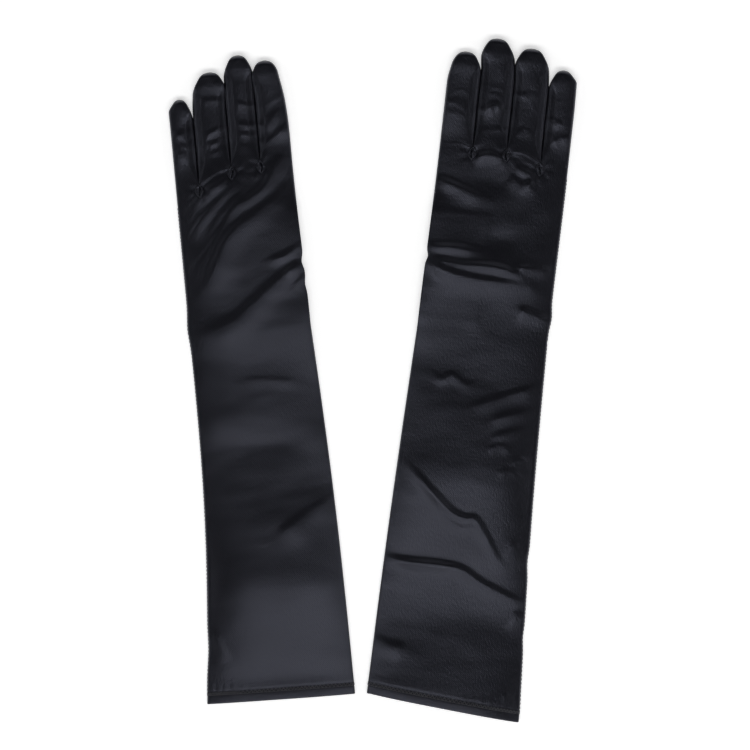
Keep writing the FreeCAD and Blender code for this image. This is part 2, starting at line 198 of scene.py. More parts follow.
class Glove:
    """One glove's place and outline, read from the frame, and the height of its cloth."""

    def __init__(self, side):
        self.side = side
        self.mirror = 1.0 if side == "left" else -1.0
        axis = np.array(JOINTS[f"{side}_wrist_fold"]["axis"][:2])
        self.across = axis / np.linalg.norm(axis)
        self.along = np.array([-self.across[1], self.across[0]])
        self.profile = soft_line(PROFILE[side])
        self.origin = np.array(MOUNTS[f"{side}_arm_opening"]["pos_m"][:2]) / MM
        self.cuff = self.edges("cuff_hem", at_start=True)
        self.wrist = self.edges("sleeve_back", at_start=False)
        self.wrist_line = self.extent("sleeve_back")[1][1]
        self.hem_end = self.extent("cuff_hem")[1][1]
        self.thumb_box = self.extent("thumb_palm")
        self.palm_lift = self.extent("thumb_back")[1][2] + 0.4
        self.lane, self.base, self.tip, self.shoulder = {}, {}, {}, {}
        for finger in FINGERS:
            low, high = self.extent(f"{finger}_back")
            strip = "outer" if finger == "little" else "inner"
            self.lane[finger] = (low[0], high[0])
            self.base[finger], self.tip[finger] = low[1], high[1]
            self.shoulder[finger] = self.extent(f"{finger}_{strip}_fourchette")[1][1]
        self.crotches = []
        for little_side, index_side in zip(FINGERS, FINGERS[1:]):
            low, high = self.extent(f"{index_side}_{little_side}_quirk")
            self.crotches.append((0.5 * (low[0] + high[0]), high[1] + 2.0))
        self.front = max(v for _, v in self.crotches)

    def local(self, points):
        """Row-frame metres to glove millimetres."""
        flat = points[:, :2] / MM - self.origin
        return np.stack([self.mirror * (flat @ self.across), flat @ self.along, points[:, 2] / MM], 1)

    def row(self, points):
        """Glove millimetres to row-frame metres."""
        points = np.atleast_2d(np.asarray(points, float))
        across = np.outer(self.mirror * points[:, 0], self.across)
        flat = self.origin + across + np.outer(points[:, 1], self.along)
        return np.column_stack([flat, points[:, 2]]) * MM

    def node_points(self, node):
        mesh = frame["nodes"][f"{self.side}_{node}"].data
        return self.local(np.array([vertex.co for vertex in mesh.vertices], float))

    def extent(self, node):
        points = self.node_points(node)
        return points.min(0), points.max(0)

    def edges(self, node, at_start):
        """The node's two edges across, at its cuff end or its fingertip end."""
        points = self.node_points(node)
        line = points[:, 1].min() if at_start else points[:, 1].max()
        ends = points[np.abs(points[:, 1] - line) < 0.5, 0]
        return ends.min(), ends.max()

    def edge(self, which, v):
        """Where the sleeve's or the hand's edge lies across, at each v."""
        number = 0 if which == "little" else 1
        cuff, wrist, knuckle = self.cuff[number], self.wrist[number], self.lane[which][number]
        share = np.clip(v / self.wrist_line, 0, 1)
        along_sleeve = mix(cuff, wrist, share) + EDGE_BOW[self.side][which] * np.sin(math.pi * share)
        line = mix(along_sleeve, knuckle, smooth((v - self.wrist_line) / (self.front - self.wrist_line)))
        inward = -1.0 if which == "index" else 1.0
        for dented, centre, depth, reach in EDGE_DENTS[self.side]:
            if dented == which:
                line = line + inward * depth * hill(v, centre, reach)
        return line

    def lift(self, u, v, spread, climb=None):
        """How far the folded thumb holds the cloth off the table; spread softens its sides."""
        start, end = climb or (self.thumb_box[0][1] - 26, self.thumb_box[0][1] + 1)
        rise = smooth((v - start) / (end - start))
        fall = 1 - smooth((v - self.thumb_box[1][1] - 1.5 + spread) / (18 + 2 * spread))
        side = smooth((u + 8 + 2.4 * spread) / (16 + 4.8 * spread))
        return rise * fall * side

    def bottom(self, u, v):
        wrinkles = 0.25 * (1 + np.sin(0.07 * v + 0.05 * u))
        hem = 0.4 * (1 - smooth((v - self.hem_end - 2) / 12))
        return TABLE_GAP + hem + wrinkles * 0.4 + (self.palm_lift + 0.3) * self.lift(u, v, 0.0)

    def fold_height(self, u, v):
        total = np.zeros_like(u)
        for height, width, points in FOLDS[self.side]:
            total += fold(u, v, height, width, points)
        for height, at_u, at_v, reach_u, reach_v in SWELLS[self.side]:
            total += height * hill(u, at_u, reach_u) * hill(v, at_v, reach_v)
        for at_u, at_v in self.crotches:
            away = np.hypot(u - at_u, v - at_v + 3)
            angle = np.arctan2(u - at_u, at_v - 3 - v)
            total += 0.2 * np.cos(6 * angle + 0.4 * at_u) * hill(away, 7.5, 3.5) - 0.5 * hill(away, 0, 5.5)
        return total

    def top(self, u, v):
        """The upper layer of the sleeve and hand."""
        little, index = self.edge("little", v), self.edge("index", v)
        x = np.clip((2 * u - little - index) / (index - little), -1, 1)
        height = np.interp(v, *self.profile) - TABLE_GAP
        climb = self.lift(u, v, THUMB_SPREAD, CLIMB[self.side])
        edge_height = EDGE_HEIGHT + THUMB_SHARE * self.palm_lift * climb
        crown = mix(edge_height, height, 1 - np.abs(x) ** CROWN_POWER)
        to_edge = np.minimum(u - little, index - u)
        folds = self.fold_height(u, v) * mix(0.35, 1.0, smooth(to_edge / 12))
        folds = folds * mix(0.5, 1.0, smooth((v - 8) / 22))
        surface = TABLE_GAP + crown + folds
        floor = self.bottom(u, v) + LAYER_GAP
        above = surface - floor
        return floor + 0.5 * (above + np.hypot(above, LAYER_GAP))       # a soft maximum of the two


def spline(points, count):
    """A smooth line through the points, with count short steps between each two."""
    points = np.array(points, float)
    padded = np.vstack([2 * points[0] - points[1], points, 2 * points[-1] - points[-2]])
    line = []
    for a, b, c, d in zip(padded, padded[1:], padded[2:], padded[3:]):
        for t in np.linspace(0, 1, count, endpoint=False):
            line.append(0.5 * (2 * b + (c - a) * t + (2 * a - 5 * b + 4 * c - d) * t ** 2
                               + (3 * b - a - 3 * c + d) * t ** 3))
    line.append(points[-1])
    return np.array(line)


def soft_line(points):
    """A curve through (v, height) points with its bends eased, as v and height at each millimetre."""
    v = np.arange(points[0][0] - 30, points[-1][0] + 30.0)
    height = np.interp(v, *spline(points, 12).T)
    kernel = hill(np.arange(-18, 19), 0.0, 8.0)
    padded = np.pad(height, 18, mode="edge")
    return v, np.convolve(padded, kernel / kernel.sum(), mode="valid")


def fold(u, v, height, width, points):
    """A soft crest along a line, steep on its fingertip side, that dies away at both ends."""
    line = spline(points, 10)
    steps = np.diff(line, axis=0)
    near = (u > line[:, 0].min() - 4 * width) & (u < line[:, 0].max() + 4 * width)
    near &= (v > line[:, 1].min() - 4 * width) & (v < line[:, 1].max() + 4 * width)
    result = np.zeros_like(u)
    if not near.any():
        return result
    at = np.stack([u[near], v[near] + 0.4 * width], 1)
    best = np.full(len(at), 1e9)
    side = np.zeros(len(at))
    place = np.zeros(len(at))
    for number, (start, step) in enumerate(zip(line, steps)):
        length = step @ step
        share = np.clip(((at - start) @ step) / length, 0, 1)
        gap = at - start - share[:, None] * step
        distance = np.sqrt((gap ** 2).sum(1))
        closer = distance < best
        best[closer] = distance[closer]
        side[closer] = gap[closer, 1]
        place[closer] = (number + share[closer]) / len(steps)
    reach = width * mix(1.35, 0.55, smooth(0.5 + side / width))
    ends = smooth(place / 0.28) * smooth((1 - place) / 0.28)
    uneven = 1 + 0.24 * np.sin(7.5 * place + 0.37 * points[0][1])
    result[near] = height * uneven * np.exp(-(best / reach) ** 2) * mix(0.12, 1.0, ends)
    return result


class Cloth:
    """Collects one glove's vertices, and its faces with their seam labels and cloth coordinates."""

    def __init__(self):
        self.points, self.quads, self.labels, self.cloth = [], [], [], []
        self.count = 0

    def add(self, points):
        """Adds an array of points and returns their numbers in the same shape."""
        shape = points.shape[:-1]
        numbers = np.arange(self.count, self.count + int(np.prod(shape))).reshape(shape)
        self.points.append(points.reshape(-1, 3))
        self.count += numbers.size
        return numbers

    def sew(self, numbers, cloth, labels):
        """Faces over a grid of vertex numbers. Labels is one name for each quad."""
        self.quads.append(quad_corners(numbers).reshape(-1, 4))
        self.cloth.append(quad_corners(cloth).reshape(-1, 4, 2))
        self.labels.append(np.asarray(labels, object).reshape(-1))


def strip(side_u, reach, z_top, z_bottom, towards, v):
    """The points round one edge of a flattened tube, from its upper seam to its lower seam, at each row."""
    turn = np.linspace(math.pi / 2, -math.pi / 2, STRIP_QUADS + 1)
    bulge = np.sign(np.cos(turn)) * np.abs(np.cos(turn)) ** 0.8
    u = (side_u - towards * reach)[..., None] + towards * reach[..., None] * bulge
    middle, half = 0.5 * (z_top + z_bottom), 0.5 * (z_top - z_bottom)
    z = middle[..., None] + half[..., None] * np.sin(turn)
    return np.stack([u, np.broadcast_to(v[..., None], u.shape), z], -1)


def cloth_grid(points):
    """Cloth coordinates for a grid of points: distance round the ring, and along the glove."""
    steps = np.linalg.norm(np.diff(points, axis=1), axis=2)
    around = np.concatenate([np.zeros((len(points), 1)), np.cumsum(steps, axis=1)], 1)
    return np.stack([around * MM, points[..., 1] * MM], -1)


def crotch_stops(glove):
    """The hand's two edges and its crotches as shares of the way across."""
    little, index = glove.lane["little"][0], glove.lane["index"][1]
    return [0.0] + [(u - little) / (index - little) for u, _ in glove.crotches] + [1.0]


def body_columns(glove):
    """The share across the hand of each column, with each crotch on a column."""
    stops = crotch_stops(glove)
    shares = [np.linspace(a, b, FINGER_QUADS, endpoint=False) for a, b in zip(stops, stops[1:])]
    return np.concatenate(shares + [[1.0]])


def crotch_line(glove, shares):
    """How far along the glove each column meets the fingers, with a low arch under each finger."""
    stops = crotch_stops(glove)
    heights = [glove.base["little"] + 1.0] + [v for _, v in glove.crotches] + [glove.base["index"] + 3.0]
    line = np.interp(shares, stops, heights)
    for a, b in zip(stops, stops[1:]):
        inside = (shares > a) & (shares < b)
        line[inside] += 2.2 * np.sin(math.pi * (shares[inside] - a) / (b - a)) ** 2
    return line


EDGE_REACH = 2.7        # how far in from the side the rounded edge of the sleeve begins
ARCH_START = 300        # where the rings begin to bend into the line of the crotches
SLANT_END = 110         # where the cuff's slant has died away
SEAM_REACH = 6.0        # how much of a fourchette shows beside the finger's back
OVERLAP = 0.05          # how far each finger's side reaches past the middle of its crotch
SEAM_DIP = 0.34         # how deep the seam sinks beside the back


def build_body(glove, cloth):
    """The sleeve and hand as rings, and the vertex numbers along their front, where the fingers begin."""
    shares = body_columns(glove)
    front = crotch_line(glove, shares)
    rows = int(round(glove.front / BODY_ROW))
    share_along = np.linspace(0, 1, rows + 1)
    level = share_along * front.mean()
    to_front = smooth((level[:, None] - ARCH_START) / (front.mean() - ARCH_START))
    v = level[:, None] + (front - front.mean())[None, :] * to_front
    slant = CUFF_SLANT[glove.side] * mix(glove.cuff[0], glove.cuff[1], shares)
    v = v + slant[None, :] * (1 - smooth(level[:, None] / SLANT_END))
    little, index = glove.edge("little", v), glove.edge("index", v)
    u = mix(little + EDGE_REACH, index - EDGE_REACH, shares[None, :])
    top, bottom = glove.top(u, v), glove.bottom(u, v)
    top = top + cloth_noise(u, v, glove.side == "right")
    hem = smooth((glove.hem_end + 0.6 - level) / 1.0)[:, None]
    groove = np.exp(-((level - glove.hem_end - 1.0) / 0.9) ** 2)[:, None]
    near_hem = hill(level, glove.hem_end + 4, 5)[:, None]
    pucker = 0.12 * np.sin(2 * math.pi * u / 6.1 + 2 * np.sin(u / 9)) * near_hem
    top = top + 0.35 * hem - 0.5 * groove + pucker
    upper = np.stack([u, v, top], -1)
    lower = np.stack([u, v, bottom], -1)[:, ::-1]
    full = np.full(rows + 1, EDGE_REACH)
    index_strip = strip(index[:, -1], full, top[:, -1], bottom[:, -1], 1.0, v[:, -1])
    little_strip = strip(little[:, 0], full, top[:, 0], bottom[:, 0], -1.0, v[:, 0])[:, ::-1]
    ring = np.concatenate([little_strip[:, HALF_STRIP:-1], upper, index_strip[:, 1:-1], lower,
                           little_strip[:, 1:HALF_STRIP]], 1)
    numbers = cloth.add(ring)
    closed, closed_points = wrapped(numbers), wrapped(ring)
    columns = ring.shape[1]
    width = upper.shape[1] - 1
    back = np.zeros(columns, bool)
    back[:width + 2 * HALF_STRIP] = True
    labels = np.empty((rows, columns), object)
    for row in range(rows):
        middle = 0.5 * (level[row] + level[row + 1])
        if middle < glove.hem_end + 1.0:
            labels[row] = "cuff_hem"
        else:
            part = "sleeve" if middle < glove.wrist_line else "hand"
            labels[row] = np.where(back, f"{part}_back", f"{part}_palm")
    cloth.sew(closed, cloth_grid(closed_points), labels)
    build_lining(glove, cloth, closed, closed_points, labels, level)
    top_numbers = numbers[-1, HALF_STRIP:HALF_STRIP + width + 1]
    start = HALF_STRIP + width + 1
    index_numbers = np.concatenate([[top_numbers[-1]], numbers[-1, start:start + STRIP_QUADS - 1]])
    start += STRIP_QUADS - 1
    bottom_numbers = numbers[-1, start:start + width + 1][::-1]
    index_numbers = np.concatenate([index_numbers, [bottom_numbers[-1]]])
    tail = numbers[-1, start + width + 1:]
    head = numbers[-1, :HALF_STRIP]
    little_numbers = np.concatenate([[bottom_numbers[0]], tail, head, [top_numbers[0]]])[::-1]
    return {"shares": shares, "front": front, "top": top_numbers, "bottom": bottom_numbers,
            "index": index_numbers, "little": little_numbers, "level": level, "ring": ring}


def grid_normals(points):
    """A normal at each point of a grid."""
    across = np.gradient(points, axis=1)
    along = np.gradient(points, axis=0)
    return unit(np.cross(across, along))


LINING_DEPTH = 0.9      # the inner face of the cloth


def build_lining(glove, cloth, closed, points, labels, level):
    """The inside of the sleeve, joined to the outside by a rounded edge at the cuff."""
    rows = int(np.searchsorted(level, glove.wrist_line - 4))
    outward = grid_normals(points)
    middle = points[:rows + 1].mean(1, keepdims=True)
    flip = np.sign(((points[:rows + 1] - middle) * outward[:rows + 1]).sum(2).mean())
    inner = points[:rows + 1] - flip * outward[:rows + 1] * LINING_DEPTH
    rim = points[:1] - flip * outward[:1] * 0.5 * LINING_DEPTH
    rim[..., 1] -= 0.45
    inner_rows = np.concatenate([rim, inner])
    inner_rows[:, -1] = inner_rows[:, 0]
    numbers = np.concatenate([closed[:1], wrapped(cloth.add(inner_rows[:, :-1]))])
    grid_points = np.concatenate([points[:1], inner_rows])
    inner_labels = np.concatenate([labels[:1], labels[:1], labels[:rows]])
    cloth.sew(numbers[::-1], cloth_grid(grid_points)[::-1], inner_labels[::-1])


def cloth_noise(u, v, shifted):
    """Small uneven waves in the satin, longer across the glove than along it."""
    offset = 71.0 if shifted else 0.0
    flat = np.zeros(u.size)
    for number, (a, b) in enumerate(zip(u.ravel(), v.ravel())):
        broad = noise.noise(Vector((a / 46 + offset, b / 26, 0.3)))
        fine = noise.noise(Vector((a / 19 + offset, b / 9, 5.1)))
        flat[number] = 0.52 * broad + 0.13 * fine
    return flat.reshape(u.shape)


def tip_round(distance, radius, power):
    """The share of the full width or height at a distance from a rounded tip."""
    share = np.clip(1 - distance / radius, 0, 1)
    return np.maximum(1 - share ** power, 0) ** (1 / power)


def build_finger(glove, cloth, body, number):
    """One finger from the crotch row to its closed tip."""
    finger = FINGERS[number]
    first, last = number * FINGER_QUADS, (number + 1) * FINGER_QUADS
    front = body["front"][first:last + 1]
    tip, lane, shoulder = glove.tip[finger], glove.lane[finger], glove.shoulder[finger]
    length = tip - front.mean()
    straight = np.arange(FINGER_ROW, length - 10, FINGER_ROW)
    bend = 10 * np.cos(np.linspace(0, math.pi / 2, 15))[:-1]
    distances = np.concatenate([length - straight, bend, [0.12]])
    share = distances / length
    v = tip - share[:, None] * (tip - front)[None, :]
    away = tip - v
    from_crotch = v - front[None, :]
    settle = smooth(from_crotch / 20)
    lean = LEAN[glove.side][finger] * smooth(1 - away / 34)

    def side_line(which):
        """The finger's edge on one side: 0 is the little side and 1 the index side."""
        crotch = number - 1 + which
        seamed = 0 <= crotch < len(glove.crotches)
        towards = -1.0 if which == 0 else 1.0
        column = 0 if which == 0 else -1
        centre = 0.5 * (lane[0] + lane[1])
        half = 0.5 * (lane[1] - lane[0])
        d, step = away[:, column], settle[:, column]
        if seamed:
            past, below = from_crotch[:, column], d - (tip - shoulder)
            narrow = mix(0.8, 1.0 + (0.4 + OVERLAP) / half, smooth((below + 7.0) / 12.0))
            start = glove.crotches[crotch][0] + towards * OVERLAP * smooth(past / 4)
            reach = SEAM_REACH * smooth(past / 24) * smooth((below + 5.0) / 15)
            reach = np.maximum(reach, 1.3 * smooth(past / 10))
        else:
            narrow = mix(0.76, 1.0, smooth((d - 2) / TAPER[glove.side][finger]))
            which_edge = "little" if which == 0 else "index"
            start = glove.edge(which_edge, v[:, column])
            reach = mix(EDGE_REACH, 2.4, smooth(1 - d / 30))
        narrow = narrow * tip_round(d, 11.0, 2.0)
        reach = np.minimum(reach, 0.62 * half * narrow)
        return mix(start, centre + towards * half * narrow, step) + lean[:, column], reach, seamed

    little_u, little_reach, little_seamed = side_line(0)
    index_u, index_reach, index_seamed = side_line(1)
    across = np.linspace(0, 1, FINGER_QUADS + 1)
    own = (body["shares"][first:last + 1] - body["shares"][first]) / (
        body["shares"][last] - body["shares"][first])
    across = mix(own[None, :], across[None, :], settle)
    u = mix((little_u + little_reach)[:, None], (index_u - index_reach)[:, None], across)
    height = (6.3 + 0.036 * from_crotch) * tip_round(away, 4.5, 2.2)
    x = 2 * across - 1
    crown = 0.9 + 0.1 * (1 - x ** 2)
    creases = finger_creases(glove.side, finger, x, away, from_crotch, length)
    for depth, width, line in FINGER_FOLDS[glove.side]:
        creases = creases + fold(u, v, depth, width, line)
    creases = creases + cloth_noise(u, v, glove.side == "right") * mix(1.0, 0.6, smooth(from_crotch / 30))
    own_top = TABLE_GAP + height * crown + creases * smooth((away + 1) / 9)
    hand_top = glove.top(u, np.minimum(v, glove.front + 6)) + cloth_noise(u, v, glove.side == "right")
    top = mix(hand_top, own_top, smooth(from_crotch / 24))
    seam_depth = SEAM_DIP * smooth(from_crotch / 8) * smooth((away - 8) / 10)
    for column, seamed in ((0, little_seamed), (-1, index_seamed)):
        if seamed:
            top[:, column] -= seam_depth[:, column]
            beside = 1 if column == 0 else -2
            top[:, beside] += 0.12 * seam_depth[:, beside]
    bottom = TABLE_GAP + 0.8 * (1 - smooth(away / 7))
    bottom = np.minimum(bottom, top - 0.05)
    upper = np.stack([u, v, top], -1)
    lower = np.stack([u, v, bottom], -1)[:, ::-1]
    index_strip = strip(index_u, index_reach, top[:, -1], bottom[:, -1], 1.0, v[:, -1])
    little_strip = strip(little_u, little_reach, top[:, 0], bottom[:, 0], -1.0, v[:, 0])
    ring = np.concatenate([upper, index_strip[:, 1:-1], lower, little_strip[:, ::-1][:, 1:-1]], 1)
    numbers = cloth.add(ring)
    first_ring = np.concatenate([
        body["top"][first:last + 1], body["crotch"][number + 1][1:-1],
        body["bottom"][first:last + 1][::-1], body["crotch"][number][::-1][1:-1]])
    numbers = np.concatenate([first_ring[None, :], numbers])
    known = np.concatenate(cloth.points)[first_ring]
    points = np.concatenate([known[None, :], ring])
    closed, closed_points = wrapped(numbers), wrapped(points)
    rows = len(closed) - 1
    back, palm = [f"{finger}_back"] * FINGER_QUADS, [f"{finger}_palm"] * FINGER_QUADS
    centre_v = closed_points[:, FINGER_QUADS // 2, 1]
    labels = np.empty((rows, closed.shape[1] - 1), object)
    for row in range(rows):
        below = 0.5 * (centre_v[row] + centre_v[row + 1]) <= shoulder
        index_side = side_labels(finger, "outer", index_seamed and below)
        little_side = side_labels(finger, "inner", little_seamed and below)[::-1]
        labels[row] = np.array(back + index_side + palm + little_side, object)
    cloth.sew(closed, cloth_grid(closed_points), labels)
    close_tip(cloth, closed[-1], closed_points[-1], labels[-1])


def side_labels(finger, edge, seamed):
    """The pieces down one side of a finger: a fourchette, or the back wrapped round to meet the palm."""
    if seamed:
        return [f"{finger}_{edge}_fourchette"] * STRIP_QUADS
    return [f"{finger}_back"] * HALF_STRIP + [f"{finger}_palm"] * HALF_STRIP


def close_tip(cloth, ring, points, labels):
    """Closes the last ring with narrow faces to its middle."""
    middle = points[:-1].mean(0)
    centre = cloth.add(middle[None, :])[0]
    row = np.full_like(ring, centre)
    grid = np.stack([ring, row])
    both = np.stack([points, np.broadcast_to(middle, points.shape)])
    cloth.sew(grid, cloth_grid(both), labels[None, :])


def finger_creases(side, finger, x, away, from_crotch, length):
    """Cross wrinkles where the finger bends, and a soft slackness along it."""
    shift = {"little": 0.0, "ring": 1.7, "middle": 3.1, "index": 4.4}[finger]
    shift += 2.0 if side == "right" else 0.0
    total = np.zeros_like(away)
    knuckle = 0.40 * length
    for number in range(4):
        at = knuckle + (number - 1.2) * 6.5 + 2.2 * math.sin(shift * 3 + number * 2.1)
        slant = 3.0 * math.sin(shift + number * 1.3)
        bow = 2.5 * math.cos(shift * 2 + number)
        line = at + slant * x + bow * x ** 2
        strength = 0.2 * (0.6 + 0.4 * math.sin(shift + number))
        total += strength * hill(from_crotch, line, 1.9) * (1 - 0.35 * x ** 2)
    total += 0.14 * np.sin(away / 6.5 + shift + 0.8 * x) * smooth(from_crotch / 14) * smooth(away / 20)
    return total


def add_crotches(cloth, body):
    """The vertical lines between the fingers, from the upper layer to the lower one."""
    lines = [body["little"]]
    turn = np.linspace(math.pi / 2, -math.pi / 2, STRIP_QUADS + 1)
    points = np.concatenate(cloth.points)
    for number in range(1, len(FINGERS)):
        column = number * FINGER_QUADS
        upper, lower = points[body["top"][column]], points[body["bottom"][column]]
        share = 0.5 - 0.5 * np.sin(turn[1:-1])
        line = mix(upper[None, :], lower[None, :], share[:, None])
        line[:, 1] -= 1.2 * np.cos(turn[1:-1])
        inside = cloth.add(line)
        lines.append(np.concatenate([[body["top"][column]], inside, [body["bottom"][column]]]))
    lines.append(body["index"])
    body["crotch"] = lines


def build_thumb(glove, cloth):
    """The thumb, flattened under the palm and closed at its tip and its base."""
    low, high = glove.thumb_box
    start, tip = low[1] + 1.0, high[1] - 0.5
    length = tip - start
    straight = np.linspace(length, 9, 34, endpoint=False)
    bend = 9 * np.cos(np.linspace(0, math.pi / 2, 10))[:-1]
    distances = np.concatenate([straight, bend, [0.12]])
    v = tip - distances
    centre = 0.5 * (low[0] + high[0]) - 1.5 * smooth((v - start) / length)
    half = 0.5 * (high[0] - low[0]) * mix(0.82, 1.0, smooth(distances / 30))
    half = half * tip_round(distances, 10.0, 2.3) * mix(0.86, 1.0, smooth((v - start) / 10))
    turn = np.linspace(0, 2 * math.pi, 57)[:-1]
    across = np.sign(np.cos(turn)) * np.abs(np.cos(turn)) ** 0.62
    up = np.sign(np.sin(turn)) * np.abs(np.sin(turn)) ** 0.72
    height = 4.6 * tip_round(distances, 5.0, 2.0) * mix(0.9, 1.0, smooth(distances / 30))
    u = centre[:, None] + half[:, None] * across[None, :]
    z = TABLE_GAP + 0.12 + 0.5 * height[:, None] * (1 + up[None, :])
    z = z + 0.15 * np.sin(v / 5.0)[:, None] * (up[None, :] > 0)
    ring = np.stack([u, np.broadcast_to(v[:, None], u.shape), z], -1)
    closed, points = wrapped(cloth.add(ring)), wrapped(ring)
    middle_turn = turn + 0.5 * (turn[1] - turn[0])
    labels = np.where(np.sin(middle_turn) > 0, "thumb_back", "thumb_palm").astype(object)
    cloth.sew(closed[:, ::-1], cloth_grid(points)[:, ::-1], np.tile(labels[::-1], (len(closed) - 1, 1)))
    close_tip(cloth, closed[-1, ::-1], points[-1, ::-1], labels[::-1])
    close_tip(cloth, closed[0], points[0], labels)


def vertex_normals(points, quads):
    """Area-weighted normals of the whole glove, so that its pieces shade as one cloth."""
    a, b, c, d = (points[quads[:, k]] for k in range(4))
    face = np.cross(c - a, d - b)
    normals = np.zeros_like(points)
    for k in range(4):
        np.add.at(normals, quads[:, k], face)
    return unit(normals)


def body_of(side, node):
    """The frame's body that a node belongs to, without the glove's name."""
    for body, members in RECORD["behaviour"]["bodies"].items():
        if f"{side}_{node}" in members:
            return body.removeprefix(f"{side}_")
    raise ValueError(node)


BEND = 24               # how far the zone between two bodies reaches along the glove on each side of the wrist, and in a finger
THUMB_BEND = 22


def blend_zone(glove, body):
    """The two bodies on each side of a piece's joint, and where along the glove the zone between them starts and
    ends.
    """
    if body in ("sleeve", "hand"):
        line = glove.wrist_line
        return ("sleeve", "hand", line - BEND, line + BEND)
    if body == "thumb":
        start = glove.thumb_box[0][1] + 4
        return ("hand", "thumb", start, start + THUMB_BEND)
    number = FINGERS.index(body)
    crotches = glove.crotches[max(number - 1, 0):number + 1]
    start = max(v for _, v in crotches) + 2.6
    return ("hand", body, start, start + BEND)


def attach(glove, piece, body):
    """Bakes a piece's transform into its mesh; the ends of its bend zone are worked out but not used."""
    first, second, start, end = blend_zone(glove, body)
    start_point = glove.row([[0.0, start, 0.0]])[0]
    end_point = glove.row([[0.0, end, 0.0]])[0]
    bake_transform(piece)


def add_object(name, data):
    """A new object in the scene."""
    thing = bpy.data.objects.new(name, data)
    bpy.context.scene.collection.objects.link(thing)
    return thing


def add_mesh(name, points, polygons, material):
    mesh = bpy.data.meshes.new(name)
    mesh.from_pydata(points.tolist(), [], polygons)
    mesh.polygons.foreach_set("use_smooth", np.ones(len(polygons), bool))
    mesh.materials.append(material)
    return mesh


def make_piece(name, points, quads, corner_uv, normals, material):
    """A mesh object from shared arrays, keeping only what its own faces use."""
    used, remap = np.unique(quads, return_inverse=True)
    faces = remap.reshape(-1, 4)
    triangle = (faces[:, 2] == faces[:, 3]) | (faces[:, 0] == faces[:, 1])
    polygons, uvs = [], []
    for face, corners, three in zip(faces.tolist(), corner_uv, triangle):
        keep = [0, 1, 2, 3]
        if three:
            keep = [0, 1, 2] if face[2] == face[3] else [1, 2, 3]
        polygons.append([face[k] for k in keep])
        uvs.extend(corners[keep])
    mesh = add_mesh(name, points[used], polygons, material)
    layer = mesh.uv_layers.new(name="cloth")
    layer.data.foreach_set("uv", np.asarray(uvs, np.float32).ravel())
    mesh.normals_split_custom_set_from_vertices(normals[used].tolist())
    mesh.update()
    return add_object(name, mesh)


# Materials.

def new_material(name):
    material = bpy.data.materials.new(name)
    material.use_nodes = True
    return material, material.node_tree, material.node_tree.nodes["Principled BSDF"]


def set_inputs(node, values):
    """Gives each named input a number or colour, or a link where the value is another node's output."""
    for name, value in values.items():
        if isinstance(value, bpy.types.NodeSocket):
            node.id_data.links.new(value, node.inputs[name])
        else:
            node.inputs[name].default_value = value


def add_node(tree, kind, inputs, **settings):
    """A shader node with its settings, then its inputs."""
    node = tree.nodes.new(f"ShaderNode{kind}")
    for name, value in settings.items():
        setattr(node, name, value)
    set_inputs(node, inputs)
    return node


def shade_between(tree, colour, low, high, share):
    """The colour times low to the colour times high, by a share from 0 to 1."""
    dark, light = [(*[c * factor for c in colour], 1.0) for factor in (low, high)]
    return add_node(tree, "Mix", {"A": dark, "B": light, "Factor": share}, data_type="RGBA")


def add_bump(tree, shader, height, strength, distance):
    bump = add_node(tree, "Bump", {"Strength": strength, "Distance": distance, "Height": height})
    set_inputs(shader, {"Normal": bump.outputs["Normal"]})


def satin(name, colour, roughness, weave_turn):
    """Black satin: long floats with a soft sheen, a fine weave, and slight unevenness in dye and lustre."""
    material, tree, shader = new_material(name)
    place = add_node(tree, "TexCoord", {}).outputs
    cloth = add_node(tree, "Mapping", {"Rotation": (0.0, 0.0, weave_turn), "Vector": place["UV"]})
    along = cloth.outputs["Vector"]
    stretch = add_node(tree, "Mapping", {"Scale": (1.0, 0.45, 1.0), "Vector": along})
    dye = add_node(tree, "TexNoise", {"Scale": 38.0, "Detail": 4.0, "Vector": place["Object"]})
    slub = add_node(tree, "TexNoise", {"Scale": 760.0, "Detail": 2.0, "Vector": stretch.outputs["Vector"]})
    weave = add_node(tree, "TexWave", {"Scale": 420.0, "Distortion": 1.2, "Detail": 1.0, "Vector": along},
                     wave_type="BANDS", bands_direction="DIAGONAL")
    shade = shade_between(tree, colour, 0.82, 1.22, dye.outputs["Fac"])
    grain = add_node(tree, "Mix", {}, data_type="RGBA", blend_type="MULTIPLY")
    set_inputs(grain, {"Factor": 0.35, "A": shade.outputs["Result"], "B": slub.outputs["Color"]})
    rough = add_node(tree, "MapRange", {"To Min": roughness - 0.08, "To Max": roughness + 0.08})
    set_inputs(rough, {"Value": slub.outputs["Fac"]})
    slub_share = 2.2
    height = add_node(tree, "Math", {1: slub_share}, operation="MULTIPLY_ADD")
    set_inputs(height, {0: slub.outputs["Fac"], 2: weave.outputs["Fac"]})
    set_inputs(shader, {
        "Base Color": grain.outputs["Result"],
        "Roughness": rough.outputs["Result"],
        "Specular IOR Level": 0.5,
        "Specular Tint": (0.77, 0.80, 1.0, 1.0),
        "Sheen Weight": 0.02,
        "Sheen Roughness": 0.4,
        "Sheen Tint": (0.55, 0.58, 0.85, 1.0),
    })
    add_bump(tree, shader, height.outputs["Value"], 0.35, 0.0003)
    return material


def thread(name, colour):
    """Twisted thread, a little lighter than the cloth."""
    material, tree, shader = new_material(name)
    place = add_node(tree, "TexCoord", {}).outputs
    twist = add_node(tree, "TexWave", {"Scale": 700.0, "Vector": place["Object"]}, bands_direction="DIAGONAL")
    shade = shade_between(tree, colour, 0.7, 1.3, twist.outputs["Fac"])
    set_inputs(shader, {"Base Color": shade.outputs["Result"], "Roughness": 0.5, "Sheen Weight": 0.3})
    add_bump(tree, shader, twist.outputs["Fac"], 0.4, 0.0001)
    return material


